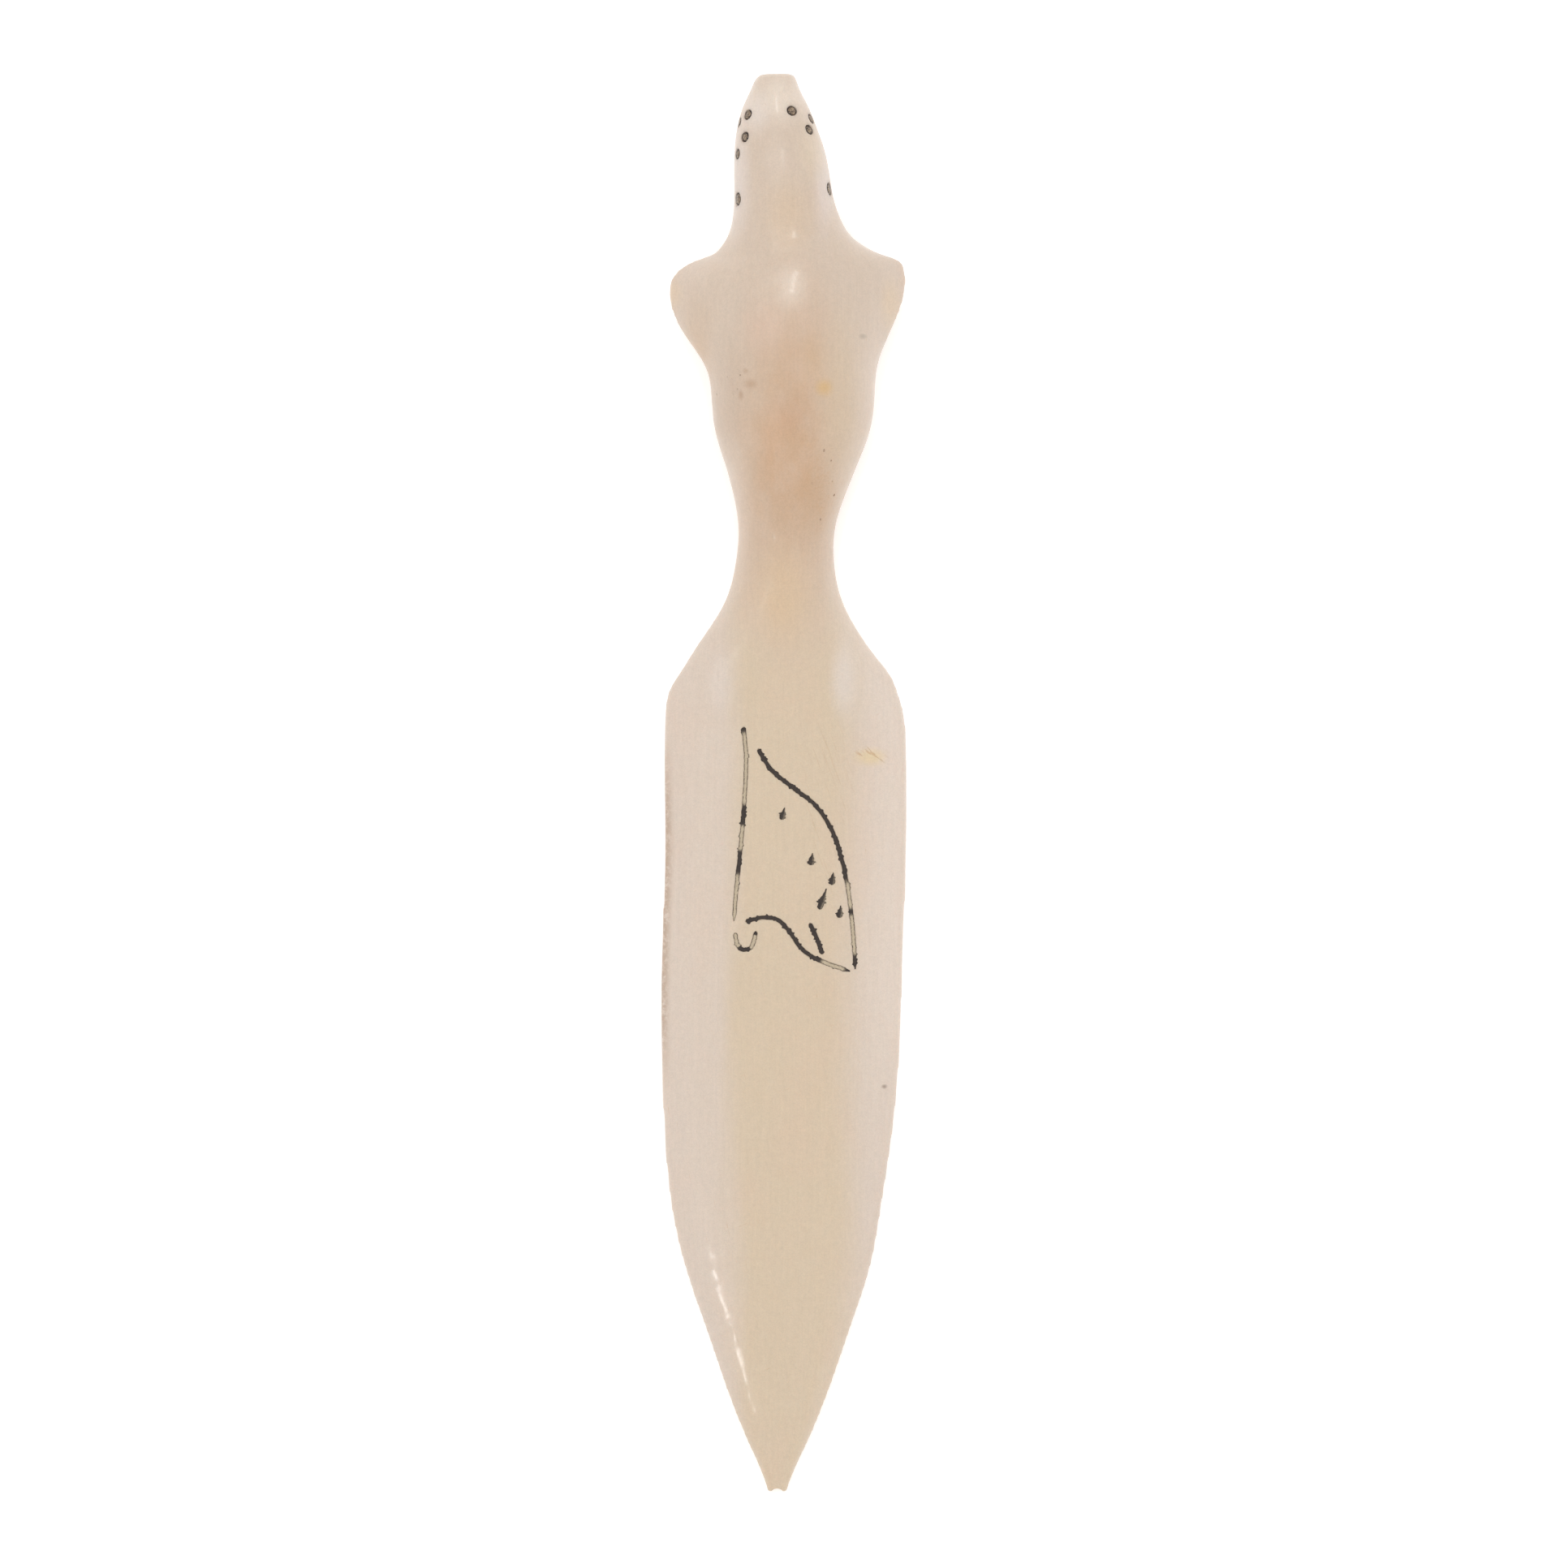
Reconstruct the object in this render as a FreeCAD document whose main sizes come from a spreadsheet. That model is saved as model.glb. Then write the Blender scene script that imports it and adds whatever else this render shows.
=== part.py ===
import FreeCAD, Part
import math
import os

import Sketcher
from FreeCAD import Placement, Rotation, Vector

# A bone folder carved from one piece of bone: a broad pointed blade whose handle is a small seal,
# with inlaid dots on the seal's head and an engraved, ink-filled drawing on the blade.
#
# Frame: millimetres, +Z up, lying on its flat underside, +Y from the blade's tip to the seal's nose.
# The origin is on the surface that it lies on, midway along the length and the width.

# name, value, what it measures
SIZES = [
    ("blade_length", 101.0, "blade, from its tip to its shoulders"),
    ("blade_width", 30.4, "blade at its widest"),
    ("blade_thickness", 4.2, "blade along its centre line"),
    ("tip_width", 2.3, "blunt end of the tip"),
    ("tip_thickness", 1.4, "blunt end of the tip"),
    ("chip_width", 1.5, "small chip out of the tip, across"),
    ("chip_depth", 0.4, "small chip out of the tip, along"),
    ("waist_length", 25.0, "shoulders to the seal's hips"),
    ("waist_width", 12.1, "narrowest place"),
    ("waist_thickness", 7.7, "at the narrowest place"),
    ("torso_length", 28.5, "hips to the front of the flippers"),
    ("torso_width", 21.0, "belly, without the flippers"),
    ("torso_thickness", 13.2, "belly, underside to back"),
    ("flipper_span", 29.6, "over both flippers"),
    ("head_length", 23.5, "front of the flippers to the nose"),
    ("head_width", 12.2, "behind the ears"),
    ("head_thickness", 11.3, "underside level to the crown"),
    ("nose_width", 3.6, "blunt end of the nose"),
    ("nose_thickness", 7.3, "underside level to the top of the nose"),
    ("chin_lift", 2.9, "underside level to the bottom of the nose"),
    ("underside_crown", 0.12, "depth taken off to make the underside flat"),
    ("dot_diameter", 1.2, "drilled dots on the muzzle"),
    ("ear_diameter", 1.5, "drilled ear dots"),
    ("dot_depth", 0.9, "drilled depth of every dot"),
    ("dot_recess", 0.08, "inlay below the bone around it"),
    ("engraving_length", 30.8, "drawing, along the blade"),
    ("engraving_width", 15.4, "drawing, across the blade"),
    ("engraving_setback", 20.3, "shoulders to the middle of the drawing"),
    ("engraving_offset", 1.4, "centre line to the middle of the drawing, to the right"),
    ("groove_width", 0.5, "engraved line"),
    ("groove_depth", 0.3, "engraved line"),
    ("ink_recess", 0.08, "ink below the blade's surface"),
]

# The zones that make up the length, from the tip to the nose.
ZONES = ["blade", "waist", "torso", "head"]
LENGTH = "(" + " + ".join("Sizes.%s_length" % zone for zone in ZONES) + ")"

# The outline of a cross-section has twelve control points. A form gives two of the three in each
# quarter, as shares of the half width and of the height above or below the edge: the corner beside
# the edge, then the shoulder on the face. The points on the two axes follow from those.
ROUND = (0.906, 0.523, 0.523, 0.906)
BLADE = (0.955, 0.40, 0.62, 0.93)
FLIPPER = (0.93, 0.15, 0.50, 0.84)
BLUNT = (0.96, 0.62, 0.60, 0.96)


def between(form_a, form_b, share):
    """The form a share of the way from one to another."""
    return tuple(a + (b - a) * share for a, b in zip(form_a, form_b))


# Stretches of the carving from the tip to the nose. Each has its zone, the two sizes that its widths
# lie between and the two that its tops lie between, and its cross-sections: share of the way along
# the zone, share of the way between the widths, lean to the right as a share of the half width,
# share of the way between the tops, share of the chin's lift, share of the height at which it is
# widest, and form.
STRETCHES = [
    ("blade", "tip_width", "blade_width", "tip_thickness", "blade_thickness", [
        (0.000, 0.00, -0.74, 0.00, 0, 0.50, BLUNT),
        (0.045, 0.13, -0.27, 0.25, 0, 0.46, between(BLUNT, BLADE, 0.6)),
        (0.125, 0.37, -0.12, 0.49, 0, 0.43, BLADE),
        (0.205, 0.57, -0.08, 0.65, 0, 0.41, BLADE),
        (0.287, 0.76, -0.07, 0.78, 0, 0.41, BLADE),
        (0.366, 0.87, -0.07, 0.86, 0, 0.41, BLADE),
        (0.447, 0.94, -0.05, 0.91, 0, 0.41, BLADE),
        (0.535, 0.98, -0.03, 0.95, 0, 0.41, BLADE),
        (0.640, 1.00, -0.02, 0.98, 0, 0.41, BLADE),
        (0.780, 1.00, 0.01, 1.00, 0, 0.41, BLADE),
        (0.930, 1.00, 0.01, 1.01, 0, 0.41, BLADE),
        (0.975, 0.98, 0.00, 1.04, 0, 0.41, BLADE),
    ]),
    ("waist", "blade_width", "waist_width", "blade_thickness", "waist_thickness", [
        (0.000, 0.10, -0.01, 0.11, 0, 0.41, BLADE),
        (0.056, 0.18, 0.00, 0.17, 0, 0.41, BLADE),
        (0.140, 0.34, -0.01, 0.28, 0, 0.41, between(BLADE, ROUND, 0.1)),
        (0.304, 0.65, -0.02, 0.51, 0, 0.42, between(BLADE, ROUND, 0.4)),
        (0.464, 0.88, 0.00, 0.74, 0, 0.43, between(BLADE, ROUND, 0.8)),
        (0.628, 0.98, 0.02, 0.92, 0, 0.44, ROUND),
        (0.780, 1.00, 0.05, 1.04, 0, 0.44, ROUND),
    ]),
    ("torso", "waist_width", "torso_width", "waist_thickness", "torso_thickness", [
        (0.000, 0.27, 0.10, 0.42, 0, 0.43, ROUND),
        (0.123, 0.54, 0.11, 0.65, 0, 0.42, ROUND),
        (0.263, 0.83, 0.11, 0.84, 0, 0.41, ROUND),
        (0.404, 0.94, 0.11, 0.95, 0, 0.40, ROUND),
        (0.520, 1.03, 0.09, 0.99, 0, 0.39, between(ROUND, FLIPPER, 0.1)),
    ]),
    ("torso", "torso_width", "flipper_span", "waist_thickness", "torso_thickness", [
        (0.670, 0.51, 0.03, 1.00, 0, 0.37, between(ROUND, FLIPPER, 0.6)),
        (0.820, 0.94, 0.02, 0.96, 0, 0.36, FLIPPER),
        (0.890, 1.00, 0.03, 0.92, 0, 0.36, FLIPPER),
        (0.965, 0.85, 0.07, 0.86, 0, 0.37, FLIPPER),
        (1.000, 0.60, 0.12, 0.82, 0, 0.38, FLIPPER),
    ]),
    ("head", "head_width", "torso_width", "head_thickness", "torso_thickness", [
        (0.043, 0.97, 0.15, 0.32, 0, 0.42, between(FLIPPER, ROUND, 0.4)),
        (0.085, 0.63, 0.12, 0.20, 0.02, 0.45, between(FLIPPER, ROUND, 0.8)),
        (0.132, 0.39, 0.09, 0.10, 0.04, 0.48, ROUND),
        (0.217, 0.17, 0.05, 0.02, 0.08, 0.49, ROUND),
    ]),
    ("head", "nose_width", "head_width", "nose_thickness", "head_thickness", [
        (0.391, 1.00, -0.02, 1.00, 0.20, 0.50, ROUND),
        (0.566, 0.92, -0.08, 0.93, 0.38, 0.50, ROUND),
        (0.740, 0.70, -0.19, 0.68, 0.60, 0.50, ROUND),
        (0.851, 0.47, -0.28, 0.43, 0.74, 0.50, between(ROUND, BLUNT, 0.3)),
        (0.932, 0.26, -0.38, 0.23, 0.87, 0.50, between(ROUND, BLUNT, 0.6)),
        (0.979, 0.15, -0.42, 0.10, 0.95, 0.50, BLUNT),
        (1.000, 0.00, -0.46, 0.00, 1.00, 0.50, BLUNT),
    ]),
]

# Inlaid dots on the head: name, share of the way along the head, angle round the head from its
# right side over the crown, and the size that gives the diameter.
DOTS = [
    ("eye_inlay_right", 0.80, 59, "dot_diameter"),
    ("eye_inlay_left", 0.78, 146, "dot_diameter"),
    ("whisker_inlay_right_front", 0.76, 17, "dot_diameter"),
    ("whisker_inlay_right_rear", 0.70, 33, "dot_diameter"),
    ("whisker_inlay_left_front", 0.74, 171, "dot_diameter"),
    ("whisker_inlay_left_middle", 0.66, 147, "dot_diameter"),
    ("whisker_inlay_left_rear", 0.57, 163, "dot_diameter"),
    ("ear_inlay_right", 0.385, 14, "ear_diameter"),
    ("ear_inlay_left", 0.33, 163, "ear_diameter"),
]

# Strokes of the drawing, each cut as a chain of short straight runs between these points, which are
# shares of its width and length from its middle, with the tail at the top.
STROKES = {
    "ink_back_line": [(-0.42, 0.50), (-0.40, 0.36), (-0.42, 0.16), (-0.45, -0.02), (-0.48, -0.16),
                      (-0.50, -0.29)],
    "ink_tail_hook": [(-0.49, -0.34), (-0.47, -0.385), (-0.43, -0.405), (-0.37, -0.40), (-0.34, -0.375),
                      (-0.32, -0.33)],
    "ink_belly_line": [(-0.30, 0.41), (-0.19, 0.325), (-0.02, 0.255), (0.16, 0.185), (0.29, 0.09),
                       (0.37, -0.02), (0.43, -0.16), (0.47, -0.32), (0.49, -0.485)],
    "ink_lower_line": [(-0.40, -0.29), (-0.26, -0.275), (-0.14, -0.285), (-0.05, -0.33), (0.05, -0.40),
                       (0.18, -0.445), (0.45, -0.495)],
    "ink_branch": [(0.12, -0.30), (0.165, -0.345), (0.225, -0.425)],
    "ink_tick_1": [(-0.09, 0.165), (-0.12, 0.15), (-0.11, 0.13)],
    "ink_tick_2": [(0.14, -0.02), (0.11, -0.04), (0.13, -0.055)],
    "ink_tick_3": [(0.31, -0.10), (0.28, -0.12), (0.30, -0.135)],
    "ink_tick_4": [(0.25, -0.165), (0.24, -0.20), (0.20, -0.235)],
    "ink_tick_5": [(0.37, -0.235), (0.34, -0.255), (0.36, -0.27)],
}

document = FreeCAD.newDocument("bone_folder")


def size(name):
    """The present value of a size, in millimetres."""
    value = sizes.get(name)
    return value.Value if hasattr(value, "Value") else float(value)


def make_sizes():
    """The spreadsheet that every object takes its sizes from."""
    sheet = document.addObject("Spreadsheet::Sheet", "Sizes")
    for row, (name, value, words) in enumerate(SIZES, start=1):
        sheet.set("A%d" % row, words)
        sheet.set("B%d" % row, "%g" % value)
        sheet.setAlias("B%d" % row, name)
    document.recompute()
    return sheet


def blend(first, second, share):
    """The expression for a size a share of the way from one cell to another."""
    return "(Sizes.%s + (Sizes.%s - Sizes.%s) * %g)" % (first, second, first, share)


def place_along(zone, share):
    """The expression for a place along Y: a share of the way through a zone."""
    before = "".join(" + Sizes.%s_length" % name for name in ZONES[:ZONES.index(zone)])
    return "(-%s / 2%s + Sizes.%s_length * %g)" % (LENGTH, before, zone, share)


def plane(body, role):
    """One of a body's own origin planes."""
    return [feature for feature in body.Origin.OriginFeatures if feature.Role == role][0]


def bind(sketch, constraint, expression):
    """Add a constraint to a sketch and bind its value to an expression."""
    sketch.setExpression("Constraints[%d]" % sketch.addConstraint(constraint), expression)


def pin(sketch, element, corner, drawn_at, place):
    """Bind a point of a sketch element, now at one place, to the pair of expressions for its own."""
    for kind, value, expression in zip(("DistanceX", "DistanceY"), drawn_at, place):
        bind(sketch, Sketcher.Constraint(kind, -1, 1, element, corner, value), expression)


def spread(count):
    """Places to draw points at before they are bound, apart and all on the positive side of both axes,
    because a sketch turns a distance round if it is first given as a negative one."""
    return [Vector(index + 1, (index + 1) ** 2, 0) for index in range(count)]


def add_ring(sketch, poles):
    """Draw a closed cubic spline whose control points are each bound to a pair of expressions."""
    places = spread(len(poles))
    curve = Part.BSplineCurve()
    curve.buildFromPolesMultsKnots(places, None, None, True, 3)
    spline = sketch.addGeometry(curve, False)
    marks = [sketch.addGeometry(Part.Circle(point, Vector(0, 0, 1), 1), True) for point in places]
    for index, mark in enumerate(marks):
        sketch.addConstraint(Sketcher.Constraint(
            "InternalAlignment:Sketcher::BSplineControlPoint", mark, 3, spline, index))
    sketch.addConstraint(Sketcher.Constraint("Weight", marks[0], 1.0))
    for mark in marks[1:]:
        sketch.addConstraint(Sketcher.Constraint("Equal", marks[0], mark))
    for mark, point, pole in zip(marks, places, poles):
        pin(sketch, mark, 3, point, pole)


def add_chain(sketch, points):
    """Draw straight runs, end to end, between points that are each bound to a pair of expressions."""
    places = spread(len(points))
    pairs = zip(places, places[1:])
    runs = [sketch.addGeometry(Part.LineSegment(start, end), False) for start, end in pairs]
    for run, following in zip(runs, runs[1:]):
        sketch.addConstraint(Sketcher.Constraint("Coincident", run, 2, following, 1))
    pin(sketch, runs[0], 1, places[0], points[0])
    for run, drawn_at, point in zip(runs, places[1:], points[1:]):
        pin(sketch, run, 2, drawn_at, point)


def outline(form):
    """The twelve control points of a cross-section, as shares, from its right edge over the top."""
    corner_across, corner_up, shoulder_across, shoulder_up = form
    edge = (6 - 2 * corner_across) / 4
    crown = (6 - 2 * shoulder_up) / 4
    quarter = [(corner_across, corner_up), (shoulder_across, shoulder_up)]
    upper = [(edge, 0)] + quarter + [(0, crown)] + [(-x, y) for x, y in reversed(quarter)]
    return upper + [(-x, -y) for x, y in upper]


def add_section(body, number, stretch, section):
    """One cross-section sketch, square to the length."""
    zone, width_from, width_to, top_from, top_to, _ = stretch
    along, wide, lean, high, chin, edge, form = section
    half_width = blend(width_from, width_to, wide) + " / 2"
    top = blend(top_from, top_to, high)
    bottom = "(Sizes.chin_lift * %g - Sizes.underside_crown * %g)" % (chin, 1 - chin)
    edge_height = "(%s + (%s - %s) * %g)" % (bottom, top, bottom, edge)
    sketch = body.newObject("Sketcher::SketchObject", "section_%02d" % number)
    sketch.AttachmentSupport = [(plane(body, "XZ_Plane"), "")]
    sketch.MapMode = "FlatFace"
    sketch.setExpression("AttachmentOffset.Base.z", "-" + place_along(zone, along))
    poles = []
    for across, up in outline(form):
        reach = "(%s - %s)" % ((top, edge_height) if up >= 0 else (edge_height, bottom))
        poles.append(("%s * %g" % (half_width, across + lean), "%s + %s * %g" % (edge_height, reach, up)))
    add_ring(sketch, poles)
    return sketch


def make_blank():
    """The carved bone before anything is drilled or engraved."""
    body = document.addObject("PartDesign::Body", "carved_blank")
    sections = []
    for stretch in STRETCHES:
        for section in stretch[-1]:
            sections.append(add_section(body, len(sections) + 1, stretch, section))
    document.recompute()
    carving = body.newObject("PartDesign::AdditiveLoft", "carving")
    carving.Profile = sections[0]
    carving.Sections = sections[1:]
    carving.Ruled = False
    document.recompute()
    cut_flat_underside(body)
    return body


def facet_volume(shape):
    """A solid's volume from its facets, because a long lofted face's own figure is a few percent out."""
    points, facets = shape.tessellate(size("groove_depth"))
    return sum(points[a].dot(points[b].cross(points[c])) for a, b, c in facets) / 6


def make_chip_cutter():
    """The round chip out of the blunt tip."""
    radius = "(Sizes.chip_width ^ 2 / 4 + Sizes.chip_depth ^ 2) / (2 * Sizes.chip_depth)"
    tip_lean = STRETCHES[0][-1][0][2]
    cutter = document.addObject("Part::Cylinder", "chip_cutter")
    cutter.setExpression("Radius", radius)
    cutter.setExpression("Height", "Sizes.blade_thickness * 2")
    cutter.setExpression("Placement.Base.x", "Sizes.tip_width / 2 * %g" % tip_lean)
    middle = "%s + Sizes.chip_depth - %s" % (place_along("blade", 0), radius)
    cutter.setExpression("Placement.Base.y", middle)
    cutter.setExpression("Placement.Base.z", "-Sizes.blade_thickness")
    return cutter


def cut_flat_underside(body):
    """Take off everything below the plane that the folder lies on."""
    sketch = body.newObject("Sketcher::SketchObject", "underside_sketch")
    sketch.AttachmentSupport = [(plane(body, "XY_Plane"), "")]
    sketch.MapMode = "FlatFace"
    corners = [Vector(-1, -1, 0), Vector(1, -1, 0), Vector(1, 1, 0), Vector(-1, 1, 0)]
    sides = [Part.LineSegment(corners[k], corners[(k + 1) % 4]) for k in range(4)]
    lines = [sketch.addGeometry(side, False) for side in sides]
    for k in range(4):
        sketch.addConstraint(Sketcher.Constraint("Coincident", lines[k], 2, lines[(k + 1) % 4], 1))
        sketch.addConstraint(Sketcher.Constraint("Vertical" if k % 2 else "Horizontal", lines[k]))
    sketch.addConstraint(Sketcher.Constraint("Symmetric", lines[0], 1, lines[1], 2, -1, 1))
    bind(sketch, Sketcher.Constraint("DistanceX", lines[0], 1, lines[0], 2, 2),
         "(Sizes.blade_width + Sizes.flipper_span) * 2")
    bind(sketch, Sketcher.Constraint("DistanceY", lines[1], 1, lines[1], 2, 2), LENGTH + " * 2")
    before = facet_volume(body.Shape)
    pocket = body.newObject("PartDesign::Pocket", "flat_underside")
    pocket.Profile = sketch
    pocket.Type = "Length"
    pocket.setExpression("Length", "Sizes.blade_thickness")
    document.recompute()
    if not before / 2 < facet_volume(body.Shape) < before:
        raise RuntimeError("the underside isn't cut flat")


def surface_point(zone_share, angle):
    """The point on the head at an angle round it, and the direction straight out of the bone there."""
    head_start = sum(size(zone + "_length") for zone in ZONES[:-1]) - total_length() / 2
    y = head_start + size("head_length") * zone_share
    ring = blank.Shape.slice(Vector(0, 1, 0), y)[0]
    box = ring.optimalBoundingBox()
    centre = Vector(box.Center.x, y, box.Center.z)
    turn = math.radians(angle)
    far = centre + Vector(math.cos(turn), 0, math.sin(turn)) * size("blade_width")
    point = ring.distToShape(Part.makeLine(centre, far))[1][0][0]
    skin = min(blank.Shape.Faces, key=lambda face: face.distToShape(Part.Vertex(point))[0])
    return point, skin.normalAt(*skin.Surface.parameter(point))


def total_length():
    """The whole folder's length."""
    return sum(size(zone + "_length") for zone in ZONES)


def make_dot(name, zone_share, angle, diameter):
    """A drilled hole square to the head's surface, and the inlay that fills it."""
    point, outwards = surface_point(zone_share, angle)
    seat = Placement(point - outwards * size("dot_depth"), Rotation(Vector(0, 0, 1), outwards))
    drill = document.addObject("Part::Cylinder", name.replace("inlay", "drill"))
    drill.setExpression("Radius", "Sizes.%s / 2" % diameter)
    drill.setExpression("Height", "Sizes.dot_depth * 2")
    drill.Placement = seat
    inlay = document.addObject("Part::Cylinder", name)
    inlay.setExpression("Radius", "Sizes.%s / 2" % diameter)
    inlay.setExpression("Height", "Sizes.dot_depth - Sizes.dot_recess")
    inlay.Placement = seat
    return drill, inlay


def sunk_copy(name, depth):
    """The blank sunk by a depth, whose top is the floor or the face of every engraved line."""
    copy = document.addObject("App::Link", name)
    copy.LinkedObject = blank
    copy.setExpression("Placement.Base.z", "-Sizes.%s" % depth)
    return copy


def make_stroke(name, points, floor, face):
    """An engraved groove that follows the blade's surface, and the ink that lies in it."""
    sketch = document.addObject("Sketcher::SketchObject", name + "_sketch")
    middle = "(%s - Sizes.engraving_setback)" % place_along("blade", 1)
    add_chain(sketch, [("Sizes.engraving_offset + Sizes.engraving_width * %g" % across,
                        middle + " + Sizes.engraving_length * %g" % along) for across, along in points])
    edge = document.addObject("Part::Offset2D", name + "_outline")
    edge.Source = sketch
    edge.setExpression("Value", "Sizes.groove_width / 2")
    prism = document.addObject("Part::Extrusion", name + "_prism")
    prism.Base = edge
    prism.DirMode = "Custom"
    prism.Dir = Vector(0, 0, 1)
    prism.Solid = True
    prism.setExpression("LengthFwd", "Sizes.blade_thickness * 2")
    groove = document.addObject("Part::Cut", name + "_groove")
    groove.Base = prism
    groove.Tool = floor
    ink = document.addObject("Part::Common", name)
    ink.Base = groove
    ink.Tool = face
    return groove, ink


def make_bone(cutters):
    """The finished bone: the blank less its drilled dots and its engraved lines."""
    tools = document.addObject("Part::MultiFuse", "bone_cutters")
    tools.Shapes = cutters
    bone = document.addObject("Part::Cut", "bone_body")
    bone.Base = blank
    bone.Tool = tools
    return bone


def check(parts):
    """Stop unless every object is up to date and every part is one valid solid."""
    for thing in document.Objects:
        if "Invalid" in thing.State or "Error" in thing.State:
            raise RuntimeError("%s failed: %s" % (thing.Label, thing.State))
    for part in parts:
        if part.Shape.isNull() or not part.Shape.isValid() or len(part.Shape.Solids) != 1:
            raise RuntimeError("%s isn't one valid solid" % part.Label)


def main():
    drills = []
    inlays = []
    for dot in DOTS:
        drill, inlay = make_dot(*dot)
        drills.append(drill)
        inlays.append(inlay)
    floor = sunk_copy("groove_floor", "groove_depth")
    face = sunk_copy("ink_face", "ink_recess")
    grooves = []
    inks = []
    for name, points in STROKES.items():
        groove, ink = make_stroke(name, points, floor, face)
        grooves.append(groove)
        inks.append(ink)
    parts = [make_bone([make_chip_cutter()] + drills + grooves)] + inlays + inks
    document.recompute()
    check(parts)
    os.makedirs("parts", exist_ok=True)
    for part in parts:
        part.Shape.exportStep("parts/%s.step" % part.Label)
        print("%-28s %10.3f mm3" % (part.Label, facet_volume(part.Shape)))


sizes = make_sizes()
blank = make_blank()
main()
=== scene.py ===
"""The looks of a bone folder: one carved bone, its inlaid dots, its inked engraving and the stage."""

import math
import random

import bmesh
import bpy
from bpy.props import FloatProperty, FloatVectorProperty, IntProperty, PointerProperty
from bpy.types import Operator, Panel, PropertyGroup
from mathutils import Matrix, Vector, noise
from mathutils.bvhtree import BVHTree
from mathutils.geometry import interpolate_bezier
from mathutils.kdtree import KDTree


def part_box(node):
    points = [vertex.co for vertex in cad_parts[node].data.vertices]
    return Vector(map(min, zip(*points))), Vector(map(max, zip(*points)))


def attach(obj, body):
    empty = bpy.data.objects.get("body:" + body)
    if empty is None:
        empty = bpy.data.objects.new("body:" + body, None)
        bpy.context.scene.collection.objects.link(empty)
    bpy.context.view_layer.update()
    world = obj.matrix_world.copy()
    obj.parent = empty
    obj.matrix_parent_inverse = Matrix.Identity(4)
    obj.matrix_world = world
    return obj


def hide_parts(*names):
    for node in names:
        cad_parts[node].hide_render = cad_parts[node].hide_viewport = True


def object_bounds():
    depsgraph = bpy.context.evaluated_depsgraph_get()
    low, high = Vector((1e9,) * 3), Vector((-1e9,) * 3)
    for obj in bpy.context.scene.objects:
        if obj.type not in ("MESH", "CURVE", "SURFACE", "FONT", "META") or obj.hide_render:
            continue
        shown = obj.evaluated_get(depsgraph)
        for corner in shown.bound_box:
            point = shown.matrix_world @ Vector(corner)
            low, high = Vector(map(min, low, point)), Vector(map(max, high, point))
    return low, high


bl_info = {
    "name": "Bone folder",
    "version": (1, 0, 0),
    "blender": (4, 5, 0),
    "location": "3D View > Sidebar > Bone folder",
    "description": "Builds a carved bone folder with inlaid dots and an inked engraving",
    "category": "Add Mesh",
}

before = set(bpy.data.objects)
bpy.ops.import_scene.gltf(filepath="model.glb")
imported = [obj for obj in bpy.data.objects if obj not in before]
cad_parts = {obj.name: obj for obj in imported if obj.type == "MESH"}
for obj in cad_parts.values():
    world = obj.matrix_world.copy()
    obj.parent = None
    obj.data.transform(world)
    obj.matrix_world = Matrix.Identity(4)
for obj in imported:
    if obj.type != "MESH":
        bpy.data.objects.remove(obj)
cad_low, cad_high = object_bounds()

MM = 0.001
UP = Vector((0, 0, 1))

LIFT = 0.08 * MM  # how far the CAD ink lies below the bone's surface
TOP = 1 * MM  # height from which a point belongs to the top side
TIP = 2.5 * MM  # length of the tip that gets a finer skin
NEAR_LINE = 0.75 * MM  # width of the finer skin on each side of a line
NEAR_DOT = 1.15 * MM  # radius of the finer skin around a dot
SEAT = 0.3 * MM  # depth of the hole that a dot sits in
THICK = 0.08 * MM  # thickness of a strip of ink
PROUD = 0.012 * MM  # how far ink stands above the bone, less its recess
PLUG = 0.6 * MM  # how far a dot reaches down into the bone
FLOOR_GAP = 0.02 * MM  # gap between the folder and the floor

# How dark the grime is beside a line and in a dot's moat, and how dark the painted shade is around a dot.
LINE_GRIME = 0.30
MOAT_GRIME = 0.55
HALO_SHADE = 0.18
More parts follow.
